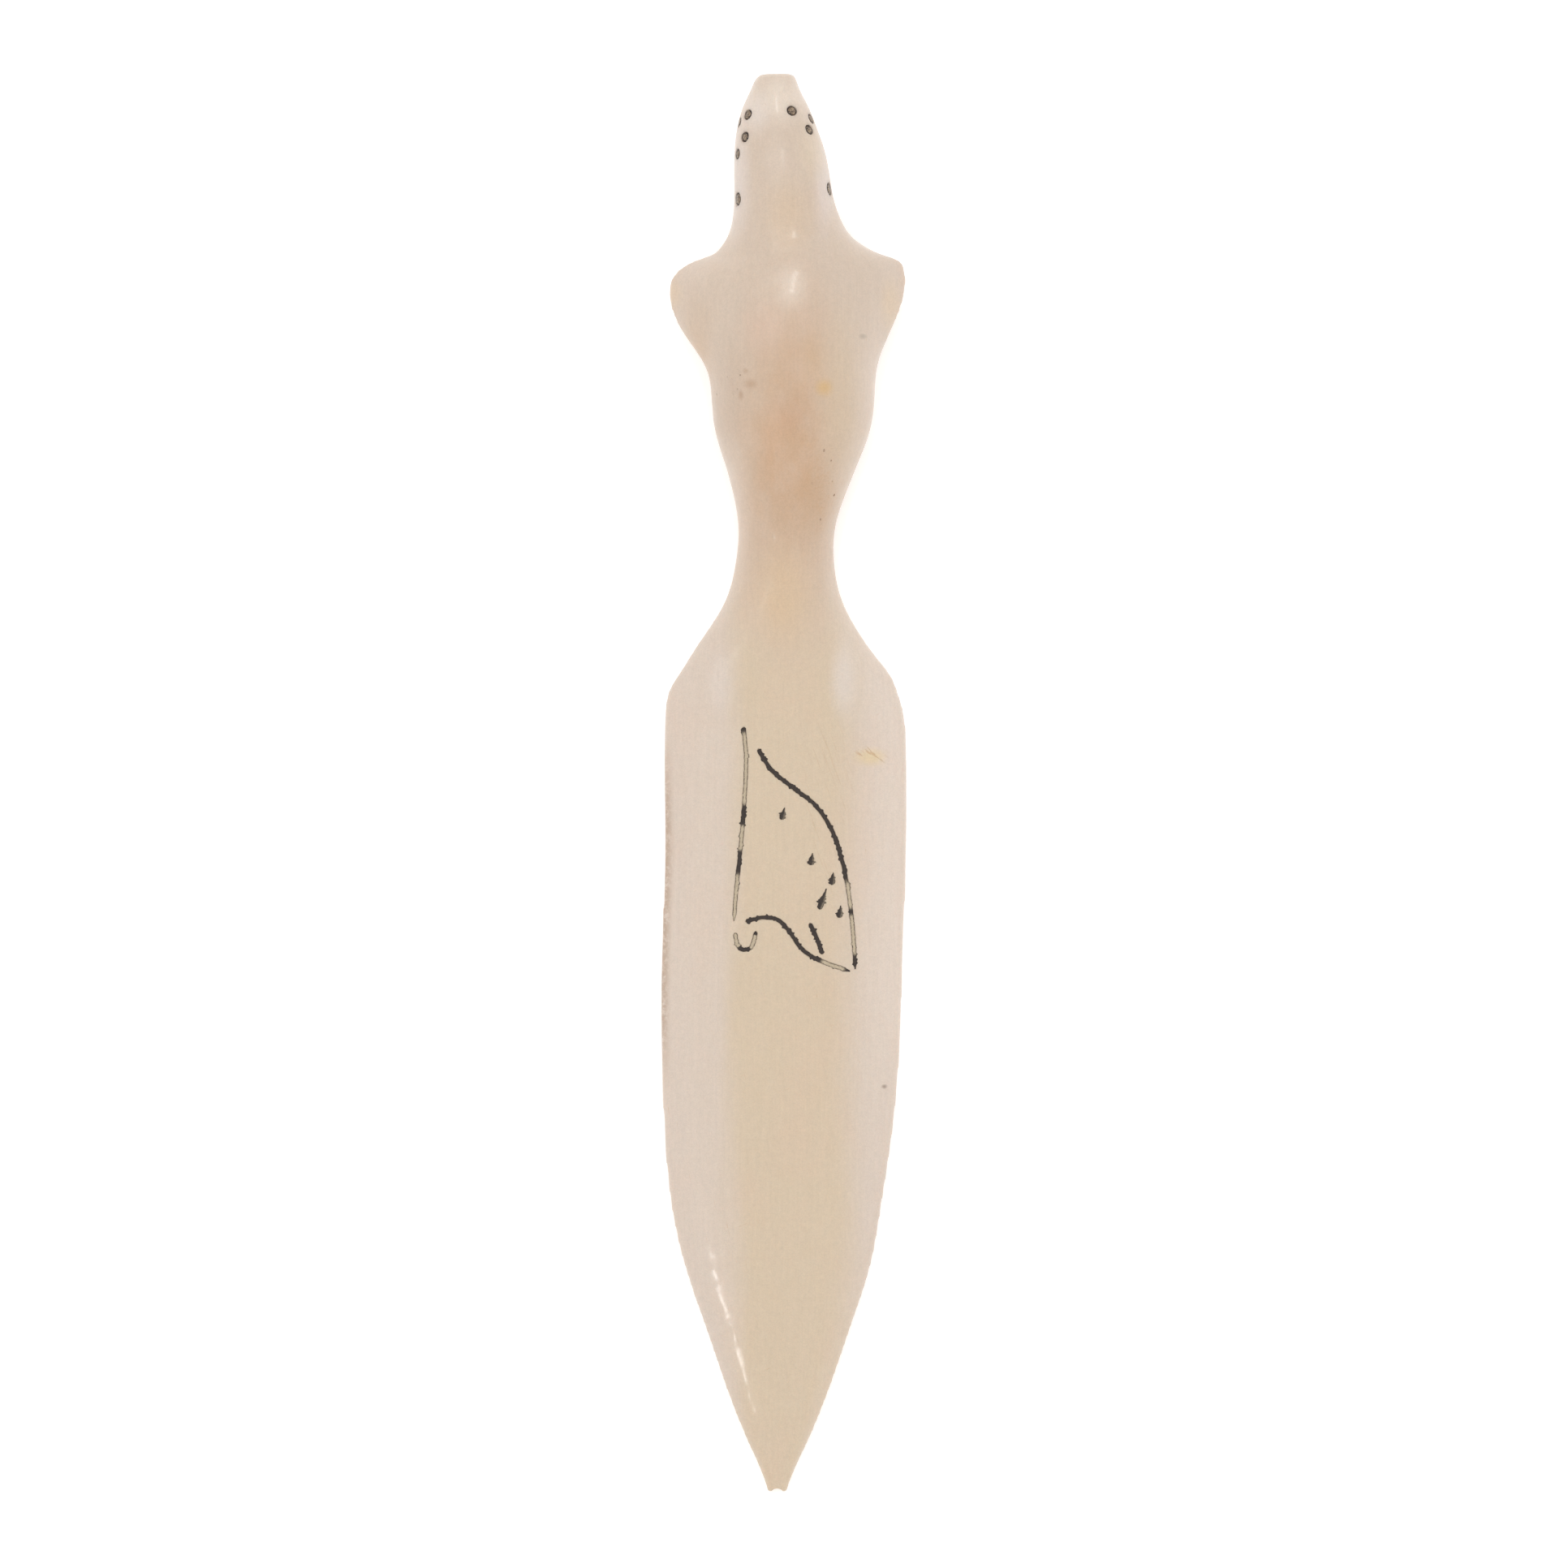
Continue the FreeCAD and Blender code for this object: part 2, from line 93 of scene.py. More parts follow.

# Soft ovals laid on the bone's colour: stains, and the painted light marked below, namely painted
# highlights on the snout, the top of the back and the right shoulder, the snout's left side painted
# lighter, and painted shade on the torso's left side. Middle and radii in millimetres from the frame's
# origin, 8-bit display colour and strength.
STAINS_AND_PAINTED_LIGHT = (
    ((7.0, 48), (4.0, 16), (214, 194, 164), 0.35),
    ((5.0, 49.5), (1.6, 1.5), (216, 176, 112), 0.55),
    ((0.5, 46), (3.5, 3.5), (208, 164, 136), 0.22),
    # Painted shade: the torso's left side darker and greyer.
    ((-7.5, 48), (4, 11), (200, 178, 158), 0.65),
    ((4.0, 36), (3.5, 6), (200, 164, 128), 0.35),
    ((-11.0, 53), (3, 9), (200, 164, 124), 0.40),
    ((-4.2, 50), (1.2, 0.9), (176, 140, 108), 0.40),
    ((10.8, 3.4), (2.8, 1.6), (232, 206, 152), 0.50),
    ((12.6, -38), (0.5, 0.4), (120, 96, 78), 0.6),
    # Painted highlight on the snout's ridge, and the snout's left side painted lighter.
    ((-0.5, 86), (5, 5), (240, 228, 214), 0.5),
    ((-3.5, 84), (2.5, 4), (232, 222, 214), 0.5),
    ((-5.6, 76), (2.2, 10), (220, 207, 199), 0.55),
    ((5.0, 75), (1.8, 9), (224, 210, 202), 0.55),
    ((3.5, 79), (3.0, 5), (226, 208, 182), 0.35),
    ((0.5, 71), (4.5, 7), (218, 190, 158), 0.5),
    # Painted highlight on the top of the back.
    ((1.0, 62), (3, 4), (232, 216, 200), 0.5),
    ((-11, 59), (4, 5), (206, 184, 162), 0.35),
    ((0, 24), (5, 9), (226, 196, 156), 0.4),
    # Painted highlight on the right shoulder.
    ((7.5, 13), (2.5, 7), (230, 220, 214), 0.5),
    ((-8.0, 13), (2.5, 6), (226, 214, 206), 0.35),
    ((-2.5, 57), (4, 5), (218, 188, 168), 0.35),
    ((-4.8, 51.6), (0.5, 0.5), (168, 132, 96), 0.35),
    ((-5.4, 48.6), (0.5, 0.9), (168, 128, 96), 0.4),
    ((-1.5, 43), (3, 7), (212, 174, 142), 0.3),
    ((3.5, 53), (2, 5), (206, 174, 138), 0.35),
    ((9.9, 56), (0.8, 0.5), (160, 150, 136), 0.45),
    ((-14.2, 61.5), (2.2, 3), (224, 198, 164), 0.4),
    ((13.4, 60), (2, 5), (226, 200, 166), 0.4),
)

DOTS = [name for name in sorted(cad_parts) if "_inlay_" in name]

# Points of each engraved line, as shares of the engraving's width and length from its middle,
# and the stretches of it that are worn pale, as shares of its length.
LINES = {
    "ink_back_line": (
        [(-.42, .50), (-.40, .36), (-.42, .16), (-.45, -.02), (-.48, -.16), (-.50, -.29)],
        [(0.02, 0.40), (0.52, 0.68), (0.80, 1.0)],
    ),
    "ink_tail_hook": (
        [(-.49, -.34), (-.47, -.385), (-.43, -.405), (-.37, -.40), (-.34, -.375), (-.32, -.33)],
        [(0.0, 0.30), (0.60, 0.92)],
    ),
    "ink_belly_line": (
        [(-.30, .41), (-.19, .325), (-.02, .255), (.16, .185), (.29, .09), (.37, -.02),
         (.43, -.16), (.47, -.32), (.49, -.485)],
        [(0.58, 0.70), (0.73, 0.93)],
    ),
    "ink_lower_line": (
        [(-.40, -.29), (-.26, -.275), (-.14, -.285), (-.05, -.33), (.05, -.40), (.18, -.445),
         (.45, -.495)],
        [(0.78, 0.97)],
    ),
    "ink_branch": ([(.12, -.30), (.165, -.345), (.225, -.425)], []),
}
TICKS = {
    "ink_tick_1": [(-.09, .165), (-.12, .15), (-.11, .13)],
    "ink_tick_2": [(.14, -.02), (.11, -.04), (.13, -.055)],
    "ink_tick_3": [(.31, -.10), (.28, -.12), (.30, -.135)],
    "ink_tick_4": [(.25, -.165), (.24, -.20), (.20, -.235)],
    "ink_tick_5": [(.37, -.235), (.34, -.255), (.36, -.27)],
}


# Lamps: name, place in metres, size, power in watts and colour.
LAMPS = (
    ("key", (-0.25, 0.32, 0.9), 0.5, 1.05, (1.0, 0.985, 0.96)),
    ("fill", (0.45, -0.2, 0.8), 0.8, 0.65, (0.97, 0.98, 1.0)),
    ("blade_glint", (-0.36, -0.265, 0.93), 0.04, 0.4, (1.0, 0.99, 0.97)),
    ("back_glint", (0.08, 0.385, 0.95), 0.10, 0.45, (1.0, 0.99, 0.97)),
    ("snout_glint", (0.02, 0.8, 0.7), 0.06, 0.3, (1.0, 0.99, 0.97)),
)


def tone(red, green, blue):
    """A colour given as 8-bit display values, as the scene-linear values that shaders take."""
    def straight(value):
        share = value / 255
        return share / 12.92 if share <= 0.04045 else ((share + 0.055) / 1.055) ** 2.4
    return straight(red), straight(green), straight(blue)


def length(name, description, default):
    """A length property whose default is in metres."""
    return FloatProperty(name=name, description=description, default=default, unit="LENGTH", precision=5)


def colour(name, description, default):
    """A colour property whose default is given as 8-bit display values."""
    return FloatVectorProperty(
        name=name, description=description, default=tone(*default), subtype="COLOR", size=3, min=0, max=1
    )


class BoneSettings(PropertyGroup):
    """Sizes and colours of the carved bone."""

    grain: length("Grain", "Distance between neighbouring points of the bone's skin", 0.4 * MM)
    blade: length("Blade", "How far the blade reaches from its tip to its shoulders", 104 * MM)
    head: length("Head", "How far the flippers' front edge lies behind the nose", 23.5 * MM)
    waver: length("Waver", "How far the carver's strokes wander from the true surface", 0.07 * MM)
    cream: colour("Cream", "Colour of the blade's dense outer bands", (220, 203, 187))
    marrow: colour("Marrow yellow", "Colour of the band along the blade's middle", (217, 197, 171))
    fawn: colour("Fawn", "Colour of the grip", (213, 194, 176))
    tan: colour("Tan", "Colour of the handled middle of the grip", (204, 170, 138))
    # Brown also paints the shade along the blade's left edge.
    brown: colour("Brown", "Colour of stains, pores and the darkened edge", (150, 112, 74))


class InkSettings(PropertyGroup):
    """Sizes and colours of the engraved lines."""

    width: length("Line width", "Width of an engraved line", 0.5 * MM)
    depth: length("Groove depth", "Depth of the cut that holds the ink", 0.26 * MM)
    recess: length("Ink recess", "How far the ink lies below the bone's surface", 0.06 * MM)
    step: length("Step", "Distance between neighbouring points along a line", 0.08 * MM)
    black: colour("Ink", "Colour of the ink where it is solid", (44, 38, 38))
    worn: colour("Worn", "Colour of the groove where its ink has rubbed out", (206, 190, 164))
    seed: IntProperty(name="Seed", description="Start of the random draws of the ragged edges", default=7)


class DotSettings(PropertyGroup):
    """Sizes and colours of the inlaid dots."""

    gap: length("Gap", "Width of the moat between a dot and the bone", 0.05 * MM)
    crown: length("Crown", "Height of a dot's dome above its rim", 0.07 * MM)
    recess: length("Rim recess", "How far a dot's rim lies below the bone's surface", 0.05 * MM)
    rim: colour("Rim", "Colour of a dot's dark rim", (48, 36, 30))
    heart: colour("Heart", "Colour of a dot's middle", (124, 102, 82))
    seed: IntProperty(name="Seed", description="Start of the random draws of the outlines", default=3)


class StageSettings(PropertyGroup):
    """Floor, light and camera."""

    lens: FloatProperty(name="Lens", description="Focal length in millimetres", default=300, min=20)
    view_height: length("View height", "Length of floor that the picture shows from top to bottom", 0.1973)
    reach: length("Reach", "How far the paper reaches from the middle before it turns up", 2.5)
    wall: length("Wall", "Height of the paper's turned-up rim", 0.35)
    floor: colour("Floor", "Colour of the floor", (252, 252, 252))


class Shade:
    """A value in a material. Arithmetic on it adds Math nodes."""

    def __init__(self, finish, socket):
        self.finish = finish
        self.socket = socket

    def maths(self, operation, *values):
        return self.finish.node("ShaderNodeMath", {"operation": operation}, dict(enumerate(values)))

    def __add__(self, other):
        return self.maths("ADD", self, other)

    def __radd__(self, other):
        return self.maths("ADD", other, self)

    def __sub__(self, other):
        return self.maths("SUBTRACT", self, other)

    def __rsub__(self, other):
        return self.maths("SUBTRACT", other, self)

    def __mul__(self, other):
        return self.maths("MULTIPLY", self, other)

    def __abs__(self):
        return self.maths("ABSOLUTE", self)

    def least(self, other):
        """The smaller of two values."""
        return self.maths("MINIMUM", self, other)

    def ease(self, low, high):
        """0 up to low, 1 from high, and a smooth rise between them."""
        return self.finish.node(
            "ShaderNodeMapRange",
            {"interpolation_type": "SMOOTHSTEP"},
            {"Value": self, "From Min": low, "From Max": high},
        )

    def axis(self, name):
        """One axis of a vector."""
        return self.finish.node("ShaderNodeSeparateXYZ", {}, {"Vector": self}, name)


class Finish:
    """A material that is being put together around one Principled shader."""

    def __init__(self, name, **uniform):
        self.material = bpy.data.materials.new(name)
        self.material.use_nodes = True
        self.nodes = self.material.node_tree.nodes
        self.links = self.material.node_tree.links
        self.shader = self.nodes["Principled BSDF"]
        for socket, value in uniform.items():
            self.shader.inputs[socket.replace("_", " ")].default_value = value

    def node(self, kind, settings, inputs, output=0):
        """Adds one node, set up and fed, and returns one of its outputs."""
        made = self.nodes.new(kind)
        for name, value in settings.items():
            setattr(made, name, value)
        for name, value in inputs.items():
            self.feed(made.inputs[name], value)
        return Shade(self, made.outputs[output])

    def feed(self, socket, value):
        """Links or sets one input."""
        if isinstance(value, Shade):
            self.links.new(value.socket, socket)
        elif socket.type == "RGBA":
            socket.default_value = (*value, 1)
        else:
            socket.default_value = value

    def place(self, scales=(1, 1, 1), turn=0, centre=(0, 0, 0)):
        """Object coordinates in millimetres from a centre, turned about the upright axis, then scaled."""
        where = self.node("ShaderNodeTexCoord", {}, {}, "Object")
        centred = self.node("ShaderNodeVectorMath", {"operation": "MULTIPLY_ADD"},
                            {0: where, 1: (1 / MM,) * 3, 2: [-value for value in centre]})
        turned = self.node("ShaderNodeMapping", {"vector_type": "POINT"},
                           {"Vector": centred, "Rotation": (0, 0, turn)})
        return self.node("ShaderNodeVectorMath", {"operation": "MULTIPLY"}, {0: turned, 1: scales})

    def cloud(self, where, detail=3, roughness=0.5, wander=0):
        """Noise from 0 to 1, one blotch to a unit of where."""
        return self.node("ShaderNodeTexNoise", {},
                         {"Vector": where, "Scale": 1, "Detail": detail, "Roughness": roughness,
                          "Distortion": wander})

    def cells(self, where):
        """Distance from the nearest of scattered points, one point to a unit of where."""
        return self.node("ShaderNodeTexVoronoi", {}, {"Vector": where, "Scale": 1, "Randomness": 1})

    def mix(self, share, first, second, way="MIX"):
        """A colour between two, or one laid on the other."""
        return self.node("ShaderNodeMix", {"data_type": "RGBA", "blend_type": way},
                         {"Factor": share, 6: first, 7: second}, 2)

    def attribute(self, name):
        """A value stored on the mesh."""
        return self.node("ShaderNodeAttribute", {"attribute_name": name}, {}, "Fac")

    def patch(self, centre, radii, softness):
        """1 in the middle of an oval patch of the surface seen from above, falling to 0 at its edge."""
        where = self.place((1 / radii[0], 1 / radii[1], 0), centre=(*centre, 0))
        far = self.node("ShaderNodeVectorMath", {"operation": "LENGTH"}, {0: where}, "Value")
        return 1 - far.ease(1 - softness, 1)

    def streaks(self, spacing, run, turn, share):
        """Thin streaks, spacing apart and run long, in millimetres, turned from the length by degrees."""
        where = self.place((1 / spacing, 1 / run, 1 / spacing), math.radians(turn))
        return self.cloud(where, 2, 0.5, 0.2).ease(share, share + 0.04)

    def bump(self, height):
        """A normal that follows a height given in millimetres."""
        return self.node("ShaderNodeBump", {}, {"Height": height, "Strength": 1, "Distance": MM})

    def connect(self, **inputs):
        """Feeds the shader's inputs that change over the surface."""
        for name, value in inputs.items():
            self.feed(self.shader.inputs[name.replace("_", " ")], value)
        return self.material


def bone_finish(bone):
    """Polished bone: cream bands, a yellow middle, a tan grip, fibres, pores, stains and scratches, with
    painted highlights and painted shade in its colour.
    """
    finish = Finish("polished_bone", Subsurface_Weight=0.12, Subsurface_Radius=(1.0, 0.6, 0.4),
                    Subsurface_Scale=1.5 * MM, Coat_Roughness=0.12, Specular_IOR_Level=0.42)
    across = finish.place().axis("X")
    along = finish.place().axis("Y")
    side = finish.attribute("side")
    drift = finish.cloud(finish.place((0.12, 0.03, 0.12)), 2) - 0.5
    blotch = finish.cloud(finish.place((0.15, 0.08, 0.15)), 4, 0.55, 0.4)
    fibre = finish.cloud(finish.place((3.2, 0.14, 3.2)), 3, 0.6)
    speck = finish.cloud(finish.place((1.6, 1.6, 1.6)), 2, 0.7)
    dust = finish.cloud(finish.place((5, 5, 5)), 2, 0.7)

    on_blade = 1 - along.ease(12, 32)
    shifted = across + drift * 6
    band = shifted.ease(-9.0, -4.8) * (1 - shifted.ease(5.5, 12))
    base = finish.mix(band, bone.cream, bone.marrow)
    base = finish.mix(on_blade, bone.fawn, base)
    grip = finish.patch((0.8, 42), (10.5, 30), 0.95) * (0.42 + blotch * 1.1)
    base = finish.mix(grip.least(1), base, bone.tan)
    base = finish.mix(blotch.ease(0.45, 0.75) * 0.18, base, tone(224, 192, 168))
    cool = finish.cloud(finish.place((0.30, 0.17, 0.30)), 4, 0.65)
    base = finish.mix(cool.ease(0.38, 0.72) * (0.06 + grip.least(1) * 0.22), base, tone(219, 200, 184))
    # Painted light: the piece lighter and lilac towards both side edges, standing in for light glowing
    # through the thin bone.
    base = finish.mix(abs(side).ease(0.62, 0.95) * 0.2, base, tone(223, 209, 199))
    # Painted highlight: the blade's right side lighter over its upper part.
    painted_right_highlight = side.ease(0.5, 0.9) * on_blade * along.ease(-48, -25)
    base = finish.mix(painted_right_highlight * 0.4, base, tone(232, 217, 203))
    for centre, radii, shade, share in STAINS_AND_PAINTED_LIGHT:
        oval_tint = finish.patch(centre, radii, 0.9) * share * (0.7 + blotch * 0.6)
        base = finish.mix(oval_tint, base, tone(*shade))
    # Painted shade: a brown strip along the blade's sloping left edge, broken by specks.
    rim = 1 - side.ease(-1.0, -0.91)
    painted_edge_shade = rim * finish.patch((-15, -16), (8, 24), 0.5) * speck.ease(0.25, 0.6)
    base = finish.mix(painted_edge_shade * 0.52, base, bone.brown)

    shine = 1 + (fibre - 0.5) * 0.10 + (speck - 0.5) * 0.13 + (dust - 0.5) * 0.22
    grey = finish.node("ShaderNodeCombineColor", {}, {0: shine, 1: shine, 2: shine})
    base = finish.mix(1, base, grey, "MULTIPLY")

    field = finish.patch((5, 37), (3.2, 9), 0.7) + finish.patch((-7, 50), (4, 6), 0.7) * 0.5 + 0.1
    holes = 1 - finish.cells(finish.place((1.0, 0.7, 1.0))).ease(0.08, 0.19)
    pores = holes * (speck * 0.7 + field * 0.35).ease(0.53, 0.68)
    halo = finish.patch((5, 37), (4, 7), 0.9) * speck.ease(0.5, 0.7)
    base = finish.mix(halo * 0.25, base, tone(186, 144, 104))
    base = finish.mix(pores.least(1) * 0.85, base, tone(120, 84, 56))

    scored = finish.streaks(0.26, 7, -51, 0.60) * finish.patch((10.8, 3.4), (2.6, 1.8), 0.5)
    fine = finish.streaks(0.18, 10, -20, 0.62) * finish.patch((5.5, -3), (4, 14), 0.5)
    stray = finish.streaks(0.16, 6, 65, 0.70) + finish.streaks(0.16, 8, -12, 0.70)
    scratch = (scored + fine * 0.4 + stray * speck.ease(0.45, 0.65) * 0.6).least(1)
    base = finish.mix(scratch * 0.45, base, tone(190, 146, 100))
    # Grime beside the lines and in the dots' moats, and painted shade around the dots.
    grime_and_shade = finish.attribute("grime_and_shade")
    base = finish.mix(grime_and_shade * 0.8, base, tone(96, 72, 54))

    facets = finish.cloud(finish.place((0.35, 0.12, 0.35)), 2)
    height = (fibre * 0.005 + facets * 0.05 - pores * 0.05
              - scratch * 0.015 + speck * 0.005 + dust * 0.0015)
    rough = (0.36 + (facets - 0.5) * 0.16 + (speck - 0.5) * 0.10
             + pores * 0.3 + scratch * 0.15 + grime_and_shade * 0.2)
    worn = finish.cloud(finish.place((0.8, 0.4, 0.8)), 3, 0.6).ease(0.38, 0.56)
    dull = finish.patch((-3, 24), (6, 10), 0.5) + finish.patch((-1, 46), (4, 5), 0.5)
    coat = (0.03 + worn * 0.22) * (1 - dull.least(1) * 0.9)
    return finish.connect(Base_Color=base, Roughness=rough, Coat_Weight=coat,
                          Normal=finish.bump(height))


def ink_finish(ink):
    """Black ink in a groove, rubbed pale along the middle of its worn stretches."""
    finish = Finish("rubbed_ink", Specular_IOR_Level=0.3)
    across = abs(finish.attribute("across"))
    wear = finish.attribute("wear")
    grit = finish.cloud(finish.place((5, 5, 5)), 3, 0.7)
    fine = finish.cloud(finish.place((12, 12, 12)), 2, 0.6)
    broken = finish.cloud(finish.place((1.6, 1.6, 1.6)), 3, 0.7)
    middle = 1 - (across + (grit - 0.5) * 1.6 + (broken - 0.5) * 1.2).ease(0.40, 0.80)
    rubbed = wear * middle
    flecks = fine.ease(0.56, 0.68) * (0.15 + wear * 0.7)
    gaps = grit.ease(0.49, 0.57) * wear * 0.65
    bare = (rubbed + flecks + gaps + wear * broken.ease(0.52, 0.66) * 0.5).least(1)
    dark = finish.mix(grit, ink.black, tone(74, 64, 57))
    floor = finish.mix(fine.ease(0.4, 0.7) * 0.6, ink.worn, tone(150, 132, 108))
    base = finish.mix(bare, dark, floor)
    return finish.connect(Base_Color=base, Roughness=0.62 + (grit - 0.5) * 0.3,
                          Normal=finish.bump(grit * 0.03 + fine * 0.015))


def dot_finish(dots):
    """Mottled brown inlay with a broken dark rim."""
    finish = Finish("brown_inlay", Specular_IOR_Level=0.45, Coat_Roughness=0.15)
    radial = finish.attribute("radial")
    mottle = finish.cloud(finish.place((2.8, 2.8, 2.8)), 4, 0.8, 1.0)
    fine = finish.cloud(finish.place((6, 6, 6)), 3, 0.7)
    heart = 1 - (radial + (mottle - 0.5) * 1.8).ease(0.62, 0.92)
    base = finish.mix(heart, dots.rim, dots.heart)
    base = finish.mix(fine.ease(0.47, 0.57) * heart * 0.9, base, tone(186, 164, 136))
    base = finish.mix(mottle.ease(0.50, 0.56) * 0.9, base, dots.rim)
    return finish.connect(Base_Color=base, Roughness=0.42 + (fine - 0.5) * 0.3,
                          Coat_Weight=0.15 + mottle * 0.1,
                          Normal=finish.bump(mottle * 0.06 + fine * 0.03))


def floor_finish(stage):
    """Plain matt paper, bright enough to read as white."""
    finish = Finish("white_paper", Roughness=0.9, Specular_IOR_Level=0.1, Emission_Strength=0.3)
    fine = finish.cloud(finish.place((0.6, 0.6, 0.6)), 4, 0.6)
    shade = finish.mix(fine * 0.04, stage.floor, tone(236, 236, 236))
    return finish.connect(Base_Color=shade, Emission_Color=stage.floor)


def add_piece(bm, name, material, slot, *nodes):
    """Makes a bmesh a finished piece that stands for the given nodes of the frame."""
    mesh = bpy.data.meshes.new(name)
    bm.to_mesh(mesh)
    bm.free()
    mesh.materials.append(material)
    mesh.shade_smooth()
    piece = bpy.data.objects.new(name, mesh)
    bpy.context.scene.collection.objects.link(piece)
    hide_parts(*nodes)
    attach(piece, "root")
    return piece


def smooth_line(points, step):
    """Evenly spaced points on a smooth line through the given ones."""
    ends = [points[0] * 2 - points[1], *points, points[-1] * 2 - points[-2]]
    dense = []
    for before, start, stop, after in zip(ends, ends[1:], ends[2:], ends[3:]):
        leave, arrive = start + (stop - before) / 6, stop - (after - start) / 6
        run = interpolate_bezier(start, leave, arrive, stop, 60)
        dense += run if not dense else run[1:]
    spaced = [dense[0]]
    for point in dense[1:]:
        if (point - spaced[-1]).length >= step:
            spaced.append(point)
    return spaced


def engraving_lines(ink):
    """Each engraved line's points on the floor plane, in metres, by the name of its node."""
    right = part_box("ink_belly_line")[1].x - ink.width / 2
    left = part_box("ink_back_line")[0].x + ink.width / 2
    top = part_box("ink_back_line")[1].y - ink.width / 2
    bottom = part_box("ink_lower_line")[0].y + ink.width / 2
    shares = {name: points for name, (points, worn) in LINES.items()} | TICKS
    across, along = zip(*[point for points in shares.values() for point in points])
    wide = (right - left) / (max(across) - min(across))
    long = (top - bottom) / (max(along) - min(along))
    middle = Vector((right - max(across) * wide, top - max(along) * long, 0))
    lines = {}
    for name, points in shares.items():
        places = [middle + Vector((x * wide, y * long, 0)) for x, y in points]
        if name in TICKS:
            overhang = (places[-1] - places[0]).normalized() * ink.width / 2
            places = [places[0] - overhang, places[-1] + overhang]
        lines[name] = smooth_line(places, ink.step)
    return lines


def filled_bone():
    """A copy of the bone with its engraving and its drilled holes filled, as one bmesh."""
    bm = bmesh.new()
    for name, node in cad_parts.items():
        before = len(bm.verts)
        bm.from_mesh(node.data)
        bm.verts.ensure_lookup_table()
        if name.startswith("ink_"):
            bmesh.ops.translate(bm, verts=bm.verts[before:], vec=UP * LIFT)
    bmesh.ops.remove_doubles(bm, verts=bm.verts[:], dist=0.001 * MM)
    return bm


def even_skin(bm, grain):
    """Replaces a bmesh of solids by one even skin around them all."""
    rough = bpy.data.meshes.new("rough_skin")
    bm.to_mesh(rough)
    holder = bpy.data.objects.new("rough_skin", rough)
    bpy.context.scene.collection.objects.link(holder)
    remesh = holder.modifiers.new("skin", "REMESH")
    remesh.mode = "VOXEL"
    remesh.voxel_size = grain
    even = bpy.data.meshes.new_from_object(holder.evaluated_get(bpy.context.evaluated_depsgraph_get()))
    bm.clear()
    bm.from_mesh(even)
    for block in (rough, even):
        bpy.data.meshes.remove(block)
    return bm


def refine(bm, near, times):
    """Divides the faces around the points that near picks, so that small cuts can be carved there."""
    for _ in range(times):
        edges = [edge for edge in bm.edges if near(edge.verts[0].co) and near(edge.verts[1].co)]
        bmesh.ops.subdivide_edges(bm, edges=edges, cuts=1, use_grid_fill=True)


def follow(bm, target):
    """Puts every point of the skin on the surface that it was made around."""
    for vertex in bm.verts:
        vertex.co = target.find_nearest(vertex.co)[0]


def even_rim(bm, shoulder):
    """Evens the outline of the blade's thin rim, which the skin's grain leaves finely notched."""
    bm.normal_update()
    rim = {vertex for vertex in bm.verts if abs(vertex.normal.z) < 0.5 and vertex.co.y < shoulder}
    for _ in range(10):
        moved = []
        for vertex in rim:
            linked = [edge.other_vert(vertex) for edge in vertex.link_edges]
            beside = [other.co for other in linked if other in rim]
            if len(beside) > 1:
                moved.append((vertex, sum(beside, Vector()) / len(beside)))
        for vertex, spot in moved:
            vertex.co.xy = vertex.co.xy.lerp(spot.xy, 0.5)


def soften_neck(bm, neck):
    """Eases the skin's height where the flippers run out into the neck, without moving its outline."""
    for reach in range(9, 2, -1):
        near = [vertex for vertex in bm.verts
                if abs(vertex.co.y - neck) < reach * MM and vertex.co.z > TOP]
        for _ in range(10):
            bmesh.ops.smooth_vert(bm, verts=near, factor=0.5, use_axis_z=True)


def tree_of(points):
    """A search tree over points."""
    tree = KDTree(len(points))
    for index, point in enumerate(points):
        tree.insert(point, index)
    tree.balance()
    return tree


def ease(value, low, high):
    """0 up to low, 1 from high, and a smooth rise between them."""
    share = min(max((value - low) / (high - low), 0), 1)
    return share * share * (3 - 2 * share)


def dot_places(skin):
    """Where each dot sits: its centre on the skin, the way it faces and its radius."""
    places = {}
    for name in DOTS:
        low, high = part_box(name)
        centre = (low + high) / 2
        seat = skin.find_nearest(centre)[0]
        facing = (seat - centre).normalized()
        corners = [vertex.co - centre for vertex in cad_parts[name].data.vertices]
        radius = max((corner - facing * corner.dot(facing)).length for corner in corners)
        places[name] = (seat, facing, radius)
    return places


def wander(bm, waver):
    """Moves the skin a little, as a knife and a file leave it, but not its flat underside."""
    bm.normal_update()
    for vertex in bm.verts:
        where = vertex.co / MM
        # Strokes about 7 mm wide and 13 mm long, with finer ones of 2.6 mm and 5 mm on them.
        slow = noise.noise(Vector((where.x / 7, where.y / 13, where.z / 7)))
        quick = noise.noise(Vector((where.x / 2.6 + 9, where.y / 5, where.z / 2.6)))
        above = ease(vertex.co.z, 0.3 * MM, 1.2 * MM)
        vertex.co += vertex.normal * waver * above * (slow + quick * 0.35)


def mark_sides(bm):
    """Stores how far out each point lies, from -1 at the left edge to 1 at the right."""
    layer = bm.verts.layers.float.new("side")
    edges = {}
    for vertex in bm.verts:
        slot = round(vertex.co.y / MM)
        left, right = edges.get(slot, (vertex.co.x, vertex.co.x))
        edges[slot] = (min(left, vertex.co.x), max(right, vertex.co.x))
    for vertex in bm.verts:
        place = vertex.co.y / MM
        slot = math.floor(place)
        pairs = [edges.get(slot), edges.get(slot + 1)]
        known = [pair for pair in pairs if pair]
        share = place - slot if len(known) == 2 else 0
        left = known[0][0] * (1 - share) + known[-1][0] * share
        right = known[0][1] * (1 - share) + known[-1][1] * share
        middle, half = (left + right) / 2, max((right - left) / 2, 0.2 * MM)
        vertex[layer] = min(max((vertex.co.x - middle) / half, -1), 1)


class SkinStore:
    """The carved bone's surface before its engraving, shared by the pieces that lie in it."""

    skin = None
    dots = None


